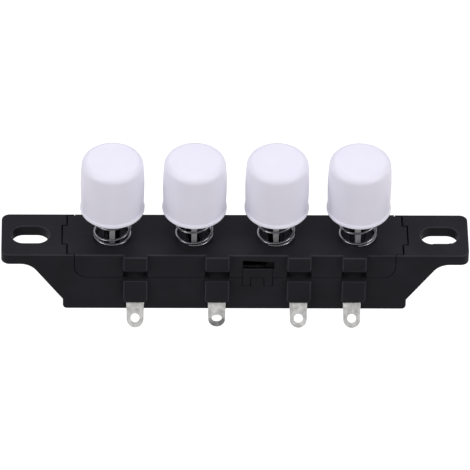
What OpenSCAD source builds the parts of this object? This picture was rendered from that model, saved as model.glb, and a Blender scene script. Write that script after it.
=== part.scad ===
// Four-key piano switch for a fan or cooker hood: three latching speed keys and
// one key that releases them.
// Frame: X runs along the row of keys, Y from the front (-) to the back (+), Z up.
// Origin: on the top face of the ears, halfway between the two mounting slots.
// Keys are counted 0 to 3 from the left; key 3 is the release key.

/* [Housing] */
// Distance between neighbouring keys
key_pitch = 18.4; // [17.5:0.1:20]
// From an outer key's axis to the housing's end face
end_margin = 11.1; // [10.6:0.1:13]
// Depth of the housing and its ears, front to back
body_d = 13.8; // [13.6:0.1:16]
// Height of the housing below its top face
body_h = 16.2; // [15.9:0.1:18]
// Thickness of the front and back walls
wall_t = 1.6; // [1.5:0.05:1.7]
// Thickness of the end walls
end_wall_t = 2.2; // [1.9:0.1:2.6]
// Thickness of the floor
floor_t = 1.5; // [1.2:0.1:1.7]
// Radius of the housing's lower corners, seen from the front
body_corner_r = 1; // [0.4:0.1:1.5]

/* [Ears] */
// Length of each ear beyond the housing's end face
ear_l = 13.8; // [13:0.1:16]
// Thickness of an ear
ear_t = 2.85; // [2:0.05:3.5]
// Radius of an ear's outer corners, seen from above
ear_corner_r = 1.8; // [0.5:0.1:3]
// From the housing's end face to the centre of the mounting slot
slot_inset = 7.3; // [6.5:0.1:8]
// Length of a mounting slot, end to end
slot_l = 8.5; // [7:0.1:10]
// Width of a mounting slot
slot_w = 5.5; // [4.8:0.1:6.5]
// Thickness of the web under the front edge of each ear
web_t = 1.5; // [1:0.1:2]
// How far the web reaches out along the ear
web_l = 9.5; // [8:0.1:10]
// Radius of the hollow where the web meets the ear
web_r = 4.2; // [3:0.1:5]
// Angle of the web's sloping edge
web_angle = 55.5; // [52:0.5:58]

/* [Cover] */
// Thickness of the cover's top plate
cover_t = 1.6; // [1.3:0.05:1.9]
// From the housing's end face to the end of the top plate
cover_end_gap = 1.1; // [0.9:0.05:1.3]
// How far the plate's ends stand back from the front and back faces
cover_step = 0.5; // [0.3:0.05:0.6]
// Width of the tongue in the middle of each end
tongue_w = 6; // [4:0.1:8]
// Length of the tongue beyond the plate
tongue_l = 1.1; // [0.5:0.05:1.4]
// From the housing's end face to the end of a skirt
skirt_end_gap = 2.7; // [2.2:0.1:3.5]
// Depth of the skirts below the top face
skirt_h = 6.65; // [6.2:0.05:6.8]
// Thickness of the skirts
skirt_t = 0.9; // [0.8:0.05:0.95]
// Radius of the skirts' lower corners
skirt_corner_r = 3; // [1:0.1:4]
// Joint line between the cover and the housing
seam = 0.12; // [0.06:0.01:0.15]
// Wider joint round the ends of the top plate
end_seam = 0.3; // [0.2:0.05:0.4]

/* [Catches] */
// Left edge of the catch window
catch_x = 1.7; // [0.5:0.1:2.2]
// Width of the catch window
catch_w = 7.1; // [6.5:0.1:7.6]
// Width of each of the two catch legs
catch_leg_w = 1.8; // [1.4:0.1:2.2]
// How far the legs reach below the top face
catch_leg_z = 9.2; // [8.6:0.1:10]
// Top of the window below the top face
window_top = 1.75; // [1.7:0.01:1.9]
// Bottom of the window below the top face
window_bottom = 3.9; // [3.6:0.1:4.4]
// How far the barbs on the legs reach into the housing's wall
barb_out = 0.3; // [0.2:0.05:0.35]
// Height of the barbs
barb_h = 0.8; // [0.6:0.1:1]
// Depth of the grooves that set the catch off from its skirt
catch_groove = 0.4; // [0.2:0.05:0.5]

/* [Terminal bays] */
// From a speed key's axis to its bay
bay_offset = 5.2; // [4.9:0.1:5.5]
// From the release key's axis to the common bay
common_bay_offset = -0.85; // [-1.5:0.05:1]
// Width of the bosses over and under a bay
boss_w = 5.4; // [5.2:0.1:6.2]
// How far the bosses stand out from the front face
boss_out = 0.9; // [0.8:0.05:1.2]
// Bottom of the upper boss below the top face
upper_boss_h = 4.2; // [3:0.05:4.5]
// Top of the lower boss below the top face
lower_boss_top = 7; // [6.97:0.01:7.2]
// Bottom of the lower boss below the top face
lower_boss_bottom = 13.5; // [12.8:0.1:13.8]
// Radius of the lower boss's bottom corners
boss_corner_r = 0.9; // [0.3:0.1:1.2]
// Front wall of the lower boss
boss_wall_t = 0.5; // [0.4:0.05:0.6]
// Thickness of the cover's plug that closes the bay
plug_t = 0.5; // [0.4:0.05:0.6]
// Thickness of the tongue that carries the plug
plug_stalk_t = 0.55; // [0.45:0.05:0.6]

/* [Terminals] */
// Width of a terminal strip
strip_w = 4; // [3.8:0.05:4.2]
// Thickness of the terminal strips and the busbar
strip_t = 0.5; // [0.4:0.05:0.55]
// Forward bend of the solder lugs
lug_bend = 42; // [20:1:60]
// Inner radius of that bend
lug_bend_r = 0.4; // [0.2:0.05:0.6]
// Length of a lug from the bend to its round end
lug_l = 5.65; // [5:0.05:7]
// Width of a lug at its round end
lug_end_w = 3.8; // [3.4:0.1:3.9]
// Diameter of the wire hole in a lug
lug_hole_d = 2; // [1.5:0.1:2.2]
// How far the hole's centre lies above the centre of the round end
lug_hole_rise = 0.25; // [0:0.05:0.5]
// Width of the oval hole in the second lug
oval_hole_w = 2.3; // [1.8:0.1:2.4]
// Height of that oval hole
oval_hole_h = 1.4; // [1.2:0.1:1.8]
// Backward bend of the second lug's tip
tip_bend = 25; // [10:1:50]
// Sideways offset of the common strip in its boss
common_strip_shift = -0.3; // [-0.5:0.05:0.5]
// Top of the contact blades below the top face
blade_top = 11.3; // [11.2:0.1:11.6]
// Height of the two posts of each kind on the floor
post_h = 1.5; // [1.2:0.1:2]

/* [Stems] */
// Thickness of a stem plate
stem_t = 1.2; // [1:0.05:1.4]
// Width of a stem plate
stem_w = 4.4; // [4.2:0.05:4.6]
// Top end of a stem above the top face
stem_top = 19; // [18:0.1:19.4]
// Lower end of a stem below the top face
stem_bottom = 9.2; // [9:0.05:9.3]
// How far the stop shoulders stand out from the stem
shoulder_out = 0.9; // [0.6:0.05:1]
// Height of the stop shoulders
shoulder_h = 0.85; // [0.6:0.05:0.95]
// How far the latch tooth stands out from the stem
tooth_out = 1; // [0.8:0.05:1.1]
// Catching edge of the latch tooth below the top face
tooth_top = 4.5; // [4.3:0.1:4.7]
// Height of the latch tooth
tooth_h = 2; // [1.7:0.1:2.2]
// Width of the pocket round a stem in the top plate
pocket_w = 3.6; // [3:0.1:4.4]
// Depth of that pocket
pocket_h = 1; // [0.6:0.05:1.1]

/* [Caps] */
// Diameter of a cap at its top
cap_d = 13.5; // [13:0.1:14.4]
// Diameter of a cap at its rim
cap_rim_d = 14.4; // [13.8:0.1:15.4]
// Height of a cap
cap_h = 13.9; // [13.2:0.1:15]
// Height of the rim above the top face
cap_lift = 8.2; // [7.8:0.1:9]
// Rounding of a cap's top edge
cap_round = 1.6; // [0.5:0.1:2]
// How far a cap's foot flares out at its rim
cap_lip = 0.25; // [0.1:0.05:0.4]
// Height of that flare
cap_lip_h = 2.2; // [1.5:0.1:3]
// Thickness of a cap's wall
cap_wall = 1.1; // [0.9:0.05:1.3]
// Thickness of a cap's top
cap_top_t = 1.4; // [1.2:0.1:1.8]
// Diameter of the socket that takes the stem
socket_d = 6.8; // [6.4:0.1:7]
// Lower end of the socket above the top face
socket_z = 11.5; // [10.5:0.1:12.5]

/* [Springs] */
// Outer diameter of a key spring
spring_d = 8.6; // [8.4:0.1:9.2]
// Diameter of its wire
spring_wire = 0.5; // [0.4:0.02:0.55]
// Rise of each open turn
spring_rise = 3.3; // [2.8:0.1:3.8]
// Height of the spring's upper seat above the top face
spring_top = 14; // [13.6:0.1:14.6]

/* [Contacts] */
// Width of a contact wiper across its two legs
wiper_w = 1.4; // [1.2:0.05:1.5]
// Length of a wiper along the blades
wiper_l = 2.6; // [2:0.1:3]
// Thickness of the wiper's strip
wiper_t = 0.3; // [0.2:0.02:0.32]
// Lower end of a wiper below the top face
wiper_bottom = 9; // [8.9:0.05:9.1]
// Top of an insulating carrier below the top face
carrier_top = 3; // [2.8:0.1:3.4]
// Height of a carrier
carrier_h = 2.4; // [2.2:0.1:2.6]
// Width of a carrier across the stem
carrier_w = 4; // [3.6:0.1:4.4]

/* [Latch] */
// Thickness of the latch plate
latch_t = 0.5; // [0.4:0.05:0.6]
// Top of the latch plate below the top face
latch_top = 7.7; // [7.5:0.05:7.9]
// Diameter of the rod that the plate swings on
rod_d = 1.1; // [0.9:0.05:1.2]
// Outer diameter of the latch plate's return spring
latch_spring_d = 2.1; // [2:0.05:2.2]
// Diameter of its wire
latch_wire = 0.3; // [0.25:0.01:0.35]

/* [Clearances] */
// Between pieces that are fitted together
fit = 0.05; // [0.03:0.01:0.06]
// Between pieces that slide or turn past each other
running = 0.1; // [0.08:0.01:0.12]

/* [Hidden] */

$fn = 48;
eps = 0.01;

// Outline of the housing
hy = body_d / 2;
hx = 1.5 * key_pitch + end_margin;
cavity_x = hx - end_wall_t;
cavity_y = hy - wall_t;
floor_z = -body_h + floor_t;
ledge_z = -cover_t - seam;
skirt_y = hy - skirt_t;
skirt_x = hx - skirt_end_gap;
plate_x = hx - cover_end_gap;

// Places along the row
function key_x(i) = (i - 1.5) * key_pitch;
function bay_x(i) = key_x(i) + (i < 3 ? bay_offset : common_bay_offset);
function strip_x(i) = bay_x(i) + (i < 3 ? 0 : common_strip_shift);
function gap_x(i) = key_x(i) + key_pitch / 2;
catch_legs = [catch_x, catch_x + catch_w - catch_leg_w - 0.4];
window_notch_z = -window_bottom - wall_t;

// Terminal strips: an outer leg in the boss, an inner leg against the wall
outer_leg_y = -hy - boss_out + boss_wall_t + fit;
inner_leg_y = -cavity_y + fit;
crossing_z = -lower_boss_top - plug_t - running - strip_t;
blade_bottom_z = floor_z + fit;
bus_y = inner_leg_y + strip_t + wiper_w + 2 * fit;
bus_x0 = key_x(0) - 2.5;
lug_pivot_y = outer_leg_y - lug_bend_r;
lug_pivot_z = -lower_boss_bottom - 0.1;

// Stems
stem_y = stem_w / 2;
shoulder_z = -cover_t - fit;
guide_top_z = -stem_bottom + 1.2;
notch_depth = 0.7;
notch_margin = 0.4;

// Latch plate and its rod
curl_r = rod_d / 2 + fit;
curl_out_r = curl_r + latch_t;
rod_y = cavity_y - running - curl_out_r;
rod_z = floor_z + 4 * running + curl_out_r;
rod_x = cavity_x + 0.9;
latch_back_y = rod_y + curl_out_r;
lip_y = stem_y + tooth_out + running;
latch_x0 = -cavity_x + 0.5;
latch_x1 = cavity_x - 2.5;
latch_arm_z = rod_z + latch_spring_d + 2 * running;
curl_window_x = key_pitch;
curl_window_w = 3.2;

// Caps
cap_top_z = cap_lift + cap_h;
cap_ceiling_z = cap_top_z - cap_top_t;
seat_d = spring_d + 1.4;

// Colours
black_plastic = [0.07, 0.07, 0.08];
white_plastic = [0.93, 0.92, 0.96];
plated_steel = [0.75, 0.75, 0.77];
tinned_brass = [0.78, 0.78, 0.76];
spring_steel = [0.6, 0.6, 0.62];
contact_bronze = [0.72, 0.5, 0.3];
carrier_plastic = [0.15, 0.15, 0.16];

// ---------------------------------------------------------------- helpers

// A box between two corners
module box(a, b) {
    translate(a) cube(b - a);
}

// A YZ outline, drawn with x as Y and y as Z, as a plate from x0 to x1
module plate_yz(x0, x1) {
    translate([x0, 0, 0]) rotate([90, 0, 90]) linear_extrude(x1 - x0) children();
}

// An XZ outline, drawn with y as Z, as a plate from y0 to y1
module plate_xz(y0, y1) {
    translate([0, y1, 0]) rotate([90, 0, 0]) linear_extrude(y1 - y0) children();
}

// A rectangle from a to b with its two lower corners rounded
module low_rounded(a, b, r) {
    translate([a.x + r, a.y]) square([b.x - a.x - 2 * r, b.y - a.y]);
    translate([a.x, a.y + r]) square([b.x - a.x, b.y - a.y - r]);
    for (x = [a.x + r, b.x - r]) translate([x, a.y + r]) circle(r);
}

// A rectangle centred on the origin with four rounded corners
module rounded(w, d, r) {
    square([w - 2 * r, d], center = true);
    square([w, d - 2 * r], center = true);
    for (x = [-1, 1], y = [-1, 1]) translate([x * (w / 2 - r), y * (d / 2 - r)]) circle(r);
}

// A slot centred on the origin, along X
module slot(l, w) {
    square([l - w, w], center = true);
    for (x = [-1, 1]) translate([x * (l - w) / 2, 0]) circle(w / 2);
}

function unit(v) = v / norm(v);

// One ring of a wire of radius r round the point c, square to its direction
function wire_ring(c, along, ref, r, sides) =
    let (u = unit(cross(along, ref)), v = unit(cross(u, along)))
    [for (j = [0 : sides - 1]) c + r * (cos(360 * j / sides) * u + sin(360 * j / sides) * v)];

// A round wire swept along a path; ref is never parallel to the path
module wire(path, ref, d, sides = 6) {
    n = len(path);
    points = [
        for (k = [0 : n - 1])
            each wire_ring(path[k], path[min(k + 1, n - 1)] - path[max(k - 1, 0)], ref, d / 2, sides)
    ];
    walls = [
        for (k = [0 : n - 2], j = [0 : sides - 1])
            let (a = k * sides + j, b = k * sides + (j + 1) % sides)
            each [[a, b, a + sides], [b, b + sides, a + sides]]
    ];
    ends = [
        [for (j = [sides - 1 : -1 : 0]) j],
        [for (j = [0 : sides - 1]) (n - 1) * sides + j]
    ];
    polyhedron(points, concat(walls, ends), convexity = 10);
}

// ---------------------------------------------------------------- housing

// Sloping web under the front edge of the right ear
module ear_web() {
    arc_x = hx + web_l;
    arc_z = -ear_t - web_r;
    touch = [arc_x - web_r * sin(web_angle), arc_z + web_r * cos(web_angle)];
    foot_z = touch.y - (touch.x - hx) * tan(web_angle);
    plate_xz(-hy, -hy + web_t) difference() {
        polygon([
            [hx - eps, -ear_t + eps], [arc_x, -ear_t + eps], [arc_x, arc_z], touch,
            [hx, foot_z], [hx - eps, foot_z]
        ]);
        translate([arc_x, arc_z]) circle(web_r);
    }
}

// Barbs at the ends of the catch legs, for the front face; gap grows them to a pocket
module catch_barbs(gap = 0) {
    back_y = -skirt_y + barb_out + gap;
    top_z = -catch_leg_z + barb_h + gap;
    for (x = catch_legs)
        plate_yz(x - gap, x + catch_leg_w + gap)
            polygon([
                [-skirt_y - eps, -catch_leg_z - gap], [-skirt_y + gap, -catch_leg_z - gap],
                [back_y, top_z - barb_h / 2], [back_y, top_z], [-skirt_y - eps, top_z]
            ]);
}

// Recess that a skirt of the cover drops into, for the front face
module skirt_recess() {
    plate_xz(-hy - 1, -skirt_y + seam / 2) {
        low_rounded([-skirt_x - seam, -skirt_h - seam], [skirt_x + seam, 1], skirt_corner_r);
        for (x = catch_legs)
            translate([x - seam, -catch_leg_z - seam])
                square([catch_leg_w + 2 * seam, catch_leg_z - skirt_h + 1]);
    }
    catch_barbs(seam);
    box([catch_x, -skirt_y - eps, window_notch_z], [catch_x + catch_w, -cavity_y + eps, 1]);
}

// Lower boss of a bay, before its slot is cut
module lower_boss(i) {
    plate_xz(-hy - boss_out, -hy + eps)
        translate([bay_x(i), 0])
            low_rounded([-boss_w / 2, -lower_boss_bottom], [boss_w / 2, -lower_boss_top], boss_corner_r);
}

// Slot for the outer leg and notch for the crossing of a terminal
module bay_cut(i) {
    half = strip_w / 2 + fit;
    x = strip_x(i);
    box([x - half, outer_leg_y - fit, -lower_boss_bottom - 1],
        [x + half, outer_leg_y + strip_t + fit, -lower_boss_top + 1]);
    box([x - half, outer_leg_y, crossing_z - fit], [x + half, -cavity_y + eps, 1]);
}

// Pair of ribs that guide the lower end of a stem
module stem_guide(i) {
    for (side = [-1, 1])
        translate([key_x(i) + side * (stem_t / 2 + fit + 0.4), 0, 0])
            box([-0.4, -0.6, floor_z - eps], [0.4, stem_y - 0.2, guide_top_z]);
}

// Slotted post that holds the busbar upright
module bus_post(x) {
    difference() {
        box([x - 1, bus_y - 0.75, floor_z - eps], [x + 1, bus_y + strip_t + 0.55, floor_z + post_h]);
        box([x - 2, bus_y - fit, floor_z], [x + 2, bus_y + strip_t + fit, 0]);
    }
}

// Saddle that holds up the middle of the latch rod
module rod_saddle(x) {
    plate_yz(x - 1, x + 1) difference() {
        translate([rod_y - 0.9, floor_z - eps]) square([1.5, rod_z - floor_z]);
        translate([rod_y, rod_z]) circle(rod_d / 2 + fit);
    }
}

// Groove in an end wall that the latch rod drops into
module rod_groove() {
    plate_yz(-rod_x - running, rod_x + running) {
        translate([rod_y, rod_z]) circle(rod_d / 2 + fit);
        translate([rod_y - rod_d / 2 - fit, rod_z]) square([rod_d + 2 * fit, -rod_z]);
    }
}

// Vertical groove in the back wall for the upright leg of the latch spring
module spring_leg_groove() {
    x = latch_x1 + 0.5 + 3 * (latch_wire + 0.1);
    box([x - 0.5, cavity_y - eps, rod_z - 1], [x + 0.8, cavity_y + 0.55, -latch_top]);
}

module housing_shell() {
    difference() {
        union() {
            translate([0, 0, -ear_t]) linear_extrude(ear_t) rounded(2 * (hx + ear_l), body_d, ear_corner_r);
            plate_xz(-hy, hy) low_rounded([-hx, -body_h], [hx, 0], body_corner_r);
            ear_web();
            mirror([1, 0, 0]) ear_web();
            for (i = [0 : 3]) lower_boss(i);
        }
        box([-cavity_x, -cavity_y, floor_z], [cavity_x, cavity_y, 1]);
        box([-plate_x - end_seam, -hy + cover_step - seam, ledge_z],
            [plate_x + end_seam, hy - cover_step + seam, 1]);
        box([-plate_x - tongue_l - end_seam, -tongue_w / 2 - end_seam, ledge_z],
            [plate_x + tongue_l + end_seam, tongue_w / 2 + end_seam, 1]);
        skirt_recess();
        mirror([0, 1, 0]) skirt_recess();
        for (x = [-1, 1])
            translate([x * (hx + slot_inset), 0, -ear_t - 1]) linear_extrude(ear_t + 2) slot(slot_l, slot_w);
        for (i = [0 : 3]) bay_cut(i);
        rod_groove();
        spring_leg_groove();
    }
}

module housing_base() {
    color(black_plastic) {
        housing_shell();
        for (i = [0 : 3]) stem_guide(i);
        for (i = [0 : 2]) bus_post(gap_x(i));
        for (x = [-curl_window_x, curl_window_x]) rod_saddle(x);
    }
}

// ---------------------------------------------------------------- cover

// A skirt with its window and two catch legs, for the front face
module skirt() {
    plate_xz(-hy, -skirt_y) difference() {
        union() {
            low_rounded([-skirt_x, -skirt_h], [skirt_x, 0], skirt_corner_r);
            for (x = catch_legs)
                translate([x, -catch_leg_z]) square([catch_leg_w, catch_leg_z - skirt_h + 1]);
        }
        translate([catch_x, -window_bottom]) square([catch_w, window_bottom - window_top]);
    }
    catch_barbs();
}

// Slope behind the window's sill, and the grooves from the window down the sides of the catch
module catch_relief() {
    plate_yz(catch_x, catch_x + catch_w) polygon([
        [-hy, -window_bottom], [-hy, -window_bottom + eps],
        [-skirt_y + eps, -window_bottom + eps], [-skirt_y + eps, -window_bottom - skirt_t]
    ]);
    for (x = [catch_x - seam, catch_legs[1] + catch_leg_w])
        box([x, -hy - 1, -skirt_h - 1], [x + seam, -hy + catch_groove, -window_bottom + eps]);
}

// Openings in the front skirt below the upper bosses
module bay_openings() {
    for (i = [0 : 3])
        box([bay_x(i) - boss_w / 2, -hy - 1, -skirt_h - 1],
            [bay_x(i) + boss_w / 2, -skirt_y + eps, -upper_boss_h]);
}

// Upper boss, and the plug on its stalk that closes the bay and keeps the terminal down
module bay_hood(i) {
    x0 = strip_x(i) - strip_w / 2;
    x1 = strip_x(i) + strip_w / 2;
    plug_z = -lower_boss_top - plug_t;
    box([bay_x(i) - boss_w / 2, -hy - boss_out, -upper_boss_h], [bay_x(i) + boss_w / 2, -skirt_y, 0]);
    box([x0, -skirt_y - eps, plug_z], [x1, -skirt_y + plug_stalk_t, -cover_t + eps]);
    box([x0, outer_leg_y, plug_z], [x1, -skirt_y, -lower_boss_top]);
}

// Opening for a stem: a close guide below a wider pocket
module stem_opening(i) {
    translate([key_x(i), 0, 0]) {
        box([-stem_t / 2 - running, -stem_y - running, -cover_t - 1],
            [stem_t / 2 + running, stem_y + running, 1]);
        box([-pocket_w / 2, -stem_y - 0.5, -pocket_h], [pocket_w / 2, stem_y + 0.5, 1]);
    }
}

module housing_cover() {
    color(black_plastic) difference() {
        union() {
            box([-plate_x, -hy + cover_step, -cover_t], [plate_x, hy - cover_step, 0]);
            box([-skirt_x, -hy, -cover_t], [skirt_x, hy, 0]);
            box([-plate_x - tongue_l, -tongue_w / 2, -cover_t], [plate_x + tongue_l, tongue_w / 2, 0]);
            difference() {
                skirt();
                bay_openings();
                catch_relief();
            }
            mirror([0, 1, 0]) difference() {
                skirt();
                catch_relief();
            }
            for (i = [0 : 3]) bay_hood(i);
        }
        for (i = [0 : 3]) stem_opening(i);
    }
}

// ---------------------------------------------------------------- terminals

// Flat outline of a lug, from its bend at y = 0 down to its round end
module lug_outline() {
    r = lug_end_w / 2;
    polygon([[-strip_w / 2, 0], [-r, -lug_l + r], [r, -lug_l + r], [strip_w / 2, 0]]);
    translate([0, -lug_l + r]) circle(r);
}

// Outline of a lug's wire hole: round, and oval in the lug with the bent tip
module lug_hole(oval) {
    if (oval) polygon([for (a = [0:15:345]) [oval_hole_w / 2 * cos(a), oval_hole_h / 2 * sin(a)]]);
    else circle(d = lug_hole_d);
}

// A solder lug whose bend starts at the lower end of the outer leg
module lug(x, tip = 0) {
    hole_z = lug_l - lug_end_w / 2 - lug_hole_rise;
    translate([x, lug_pivot_y, lug_pivot_z]) {
        rotate([0, 180, 0]) rotate([90, 0, 90]) translate([0, 0, -strip_w / 2])
            rotate_extrude(angle = lug_bend) translate([lug_bend_r, 0]) square([strip_t, strip_w]);
        rotate([-lug_bend, 0, 0]) translate([0, lug_bend_r, 0]) difference() {
            union() {
                difference() {
                    plate_xz(0, strip_t) lug_outline();
                    if (tip > 0) box([-5, -5, -lug_l - 1], [5, 5, -hole_z]);
                }
                if (tip > 0)
                    translate([0, 0, -hole_z]) rotate([tip, 0, 0]) translate([0, 0, hole_z]) difference() {
                        plate_xz(0, strip_t) lug_outline();
                        box([-5, -5, -hole_z], [5, 5, 1]);
                    }
            }
            translate([0, -2, -hole_z]) rotate([-90, 0, 0]) linear_extrude(4) lug_hole(tip > 0);
        }
    }
}

// The strip over the wall: outer leg, crossing and inner leg of one bay
module terminal_clip(i) {
    x0 = strip_x(i) - strip_w / 2;
    x1 = strip_x(i) + strip_w / 2;
    inner_back_y = inner_leg_y + strip_t;
    plate_yz(x0, x1) {
        translate([outer_leg_y, lug_pivot_z]) square([strip_t, crossing_z + strip_t - lug_pivot_z]);
        translate([outer_leg_y, crossing_z]) square([inner_back_y - outer_leg_y, strip_t]);
        translate([inner_leg_y, blade_bottom_z]) square([strip_t, crossing_z - blade_bottom_z + eps]);
    }
}

module terminal_speed(i) {
    color(tinned_brass) {
        terminal_clip(i);
        box([key_x(i) - 1.6, inner_leg_y, blade_bottom_z],
            [strip_x(i) - strip_w / 2 + eps, inner_leg_y + strip_t, -blade_top]);
        lug(strip_x(i), tip = i == 1 ? tip_bend : 0);
    }
}

// The common terminal, folded from one strip with the busbar that the wipers touch
module terminal_common() {
    x0 = strip_x(3) - strip_w / 2;
    x1 = strip_x(3) + strip_w / 2;
    color(tinned_brass) {
        terminal_clip(3);
        box([x0, inner_leg_y, blade_bottom_z], [x1, bus_y + strip_t, blade_bottom_z + strip_t]);
        box([bus_x0, bus_y, blade_bottom_z], [x1, bus_y + strip_t, -blade_top]);
        lug(strip_x(3));
    }
}

// ---------------------------------------------------------------- latch

// The curl that swings on the rod, the upright strip and the lip that holds the teeth
module latch_profile() {
    lip_z = -latch_top - latch_t;
    translate([rod_y, rod_z]) difference() {
        circle(curl_out_r);
        circle(curl_r);
        polygon([[0, 0], for (a = [20, 65, 110]) 3 * curl_out_r * [cos(a), sin(a)]]);
    }
    translate([latch_back_y - latch_t, rod_z]) square([latch_t, lip_z - latch_t - rod_z + eps]);
    translate([latch_back_y - 2 * latch_t, lip_z - latch_t]) intersection() {
        difference() {
            circle(2 * latch_t);
            circle(latch_t);
        }
        square(2 * latch_t);
    }
    translate([lip_y, lip_z]) square([latch_back_y - 2 * latch_t - lip_y + eps, latch_t]);
}

module latch_plate() {
    color(plated_steel) {
        difference() {
            plate_yz(latch_x0, latch_x1) latch_profile();
            for (x = [-curl_window_x, curl_window_x])
                box([x - curl_window_w / 2, 0, -body_h],
                    [x + curl_window_w / 2, hy, rod_z + curl_out_r + 0.4]);
        }
        box([latch_x1 - eps, latch_back_y - latch_t, latch_arm_z],
            [latch_x1 + 2, latch_back_y, -latch_top - latch_t]);
    }
}

module latch_rod() {
    color(plated_steel) plate_yz(-rod_x, rod_x) translate([rod_y, rod_z]) circle(rod_d / 2);
}

// Torsion spring on the rod: one leg on the floor, one leg up behind the latch plate
module latch_spring() {
    r = (latch_spring_d - latch_wire) / 2;
    turns = 3.25;
    steps = 14;
    x0 = latch_x1 + 0.5;
    rise = latch_wire + 0.1;
    leg_z = latch_arm_z + 0.9;
    leg_y = latch_back_y + fit + latch_wire / 2;
    floor_leg = [[x0, rod_y - 3, rod_z - r], [x0, rod_y - 1, rod_z - r]];
    coil = [
        for (k = [0 : turns * steps])
            let (a = -90 + 360 * k / steps)
            [x0 + rise * k / steps, rod_y + r * cos(a), rod_z + r * sin(a)]
    ];
    back_leg = [
        [x0 + rise * turns, rod_y + r + 0.1, rod_z + 0.6],
        [x0 + rise * turns, leg_y, rod_z + 2],
        [x0 + rise * turns, leg_y, leg_z]
    ];
    color(spring_steel) wire(concat(floor_leg, coil, back_leg), [1, 0, 0], latch_wire);
}

// ---------------------------------------------------------------- keys

// Outline of a cap from its axis outwards, in X and Z
module cap_profile() {
    r = cap_d / 2;
    rim_r = cap_rim_d / 2;
    flare = [for (k = [0:5]) [rim_r - cap_lip + cap_lip * pow(1 - k / 5, 2), cap_lip_h * k / 5]];
    difference() {
        union() {
            polygon([[0, 0], each flare, [r, cap_h - cap_round], [0, cap_h - cap_round]]);
            square([r - cap_round, cap_h]);
            translate([r - cap_round, cap_h - cap_round]) circle(cap_round);
        }
        polygon([
            [0, -1], [rim_r - cap_wall, -1], [rim_r - cap_wall, 0],
            [r - cap_wall, cap_h - cap_top_t], [0, cap_h - cap_top_t]
        ]);
        translate([-cap_d, -1]) square([cap_d, cap_h + 2]);
    }
    translate([0, spring_top - cap_lift]) square([seat_d / 2, cap_h - cap_top_t / 2 - spring_top + cap_lift]);
    translate([0, socket_z - cap_lift]) square([socket_d / 2, cap_h - cap_top_t / 2 - socket_z + cap_lift]);
}

module key_cap(i) {
    color(white_plastic) translate([key_x(i), 0, 0]) difference() {
        translate([0, 0, cap_lift]) rotate_extrude($fn = 72) cap_profile();
        box([-stem_t / 2 - fit, -stem_y - fit, 0], [stem_t / 2 + fit, stem_y + fit, stem_top + fit]);
    }
}

// Outline of a stem; the release key's tooth has a slope on top, so the latch can't hold it
module stem_profile(latching) {
    tip_y = stem_y + tooth_out;
    difference() {
        polygon([
            [-stem_y + 0.5, stem_top], [-stem_y, stem_top - 0.8], [-stem_y, shoulder_z],
            [-stem_y - shoulder_out, shoulder_z], [-stem_y - shoulder_out, shoulder_z - shoulder_h],
            [-stem_y, shoulder_z - shoulder_h], [-stem_y, -stem_bottom + 0.8],
            [-stem_y + 0.5, -stem_bottom], [stem_y - 0.5, -stem_bottom], [stem_y, -stem_bottom + 0.8],
            [stem_y, -tooth_top - tooth_h], [tip_y, -tooth_top - 0.5],
            [tip_y, -tooth_top], [stem_y, -tooth_top + (latching ? 0 : 1.1)],
            [stem_y, shoulder_z - shoulder_h], [stem_y + shoulder_out, shoulder_z - shoulder_h],
            [stem_y + shoulder_out, shoulder_z], [stem_y, shoulder_z],
            [stem_y, stem_top - 0.8], [stem_y - 0.5, stem_top]
        ]);
        if (latching)
            translate([-stem_y - 1, -carrier_top - carrier_h + notch_margin])
                square([1 + notch_depth, carrier_h - 2 * notch_margin]);
    }
}

module key_stem(i) {
    color(plated_steel)
        translate([key_x(i), 0, 0]) plate_yz(-stem_t / 2, stem_t / 2) stem_profile(i < 3);
}

// Height of the wire's centre after t turns: one closed turn, open turns, one closed turn
function spring_z(t, open) =
    spring_wire / 2 + fit + spring_wire * min(t, 1) + spring_rise * max(0, min(t - 1, open))
    + spring_wire * max(0, t - 1 - open);

// Compression spring; phase is the part of a turn from the wire's end to the front
module key_spring(i, phase) {
    r = (spring_d - spring_wire) / 2;
    open = (spring_top - 2 * fit - 3 * spring_wire) / spring_rise;
    turns = open + 2;
    steps = 20;
    n = ceil(turns * steps);
    path = [
        for (k = [0 : n])
            let (t = turns * k / n, a = -90 + 360 * (t - phase))
            [key_x(i) + r * cos(a), r * sin(a), spring_z(t, open)]
    ];
    color(spring_steel) wire(path, [0, 0, 1], spring_wire);
}

// Insulator that grips the stem's front edge and carries the wiper
module contact_carrier(i) {
    front_y = bus_y - wiper_w - 0.25;
    wiper_mid_y = bus_y - fit - wiper_w / 2;
    web_w = wiper_w - 2 * wiper_t - 2 * fit;
    bottom_z = -carrier_top - carrier_h;
    grip = carrier_w / 2;
    color(carrier_plastic) translate([key_x(i), 0, 0]) {
        difference() {
            box([-grip, front_y, bottom_z], [grip, -0.8, -carrier_top]);
            box([-stem_t / 2 - fit, -stem_y - fit, bottom_z - 1], [stem_t / 2 + fit, 0, 1]);
        }
        box([-stem_t / 2 - fit - eps, -stem_y - fit - eps, bottom_z + notch_margin + fit],
            [stem_t / 2 + fit + eps, -stem_y + notch_depth - fit, -carrier_top - notch_margin - fit]);
        box([-wiper_l / 2 + 0.2, wiper_mid_y - web_w / 2, bottom_z - 2.6],
            [wiper_l / 2 - 0.2, wiper_mid_y + web_w / 2, bottom_z + eps]);
    }
}

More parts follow.
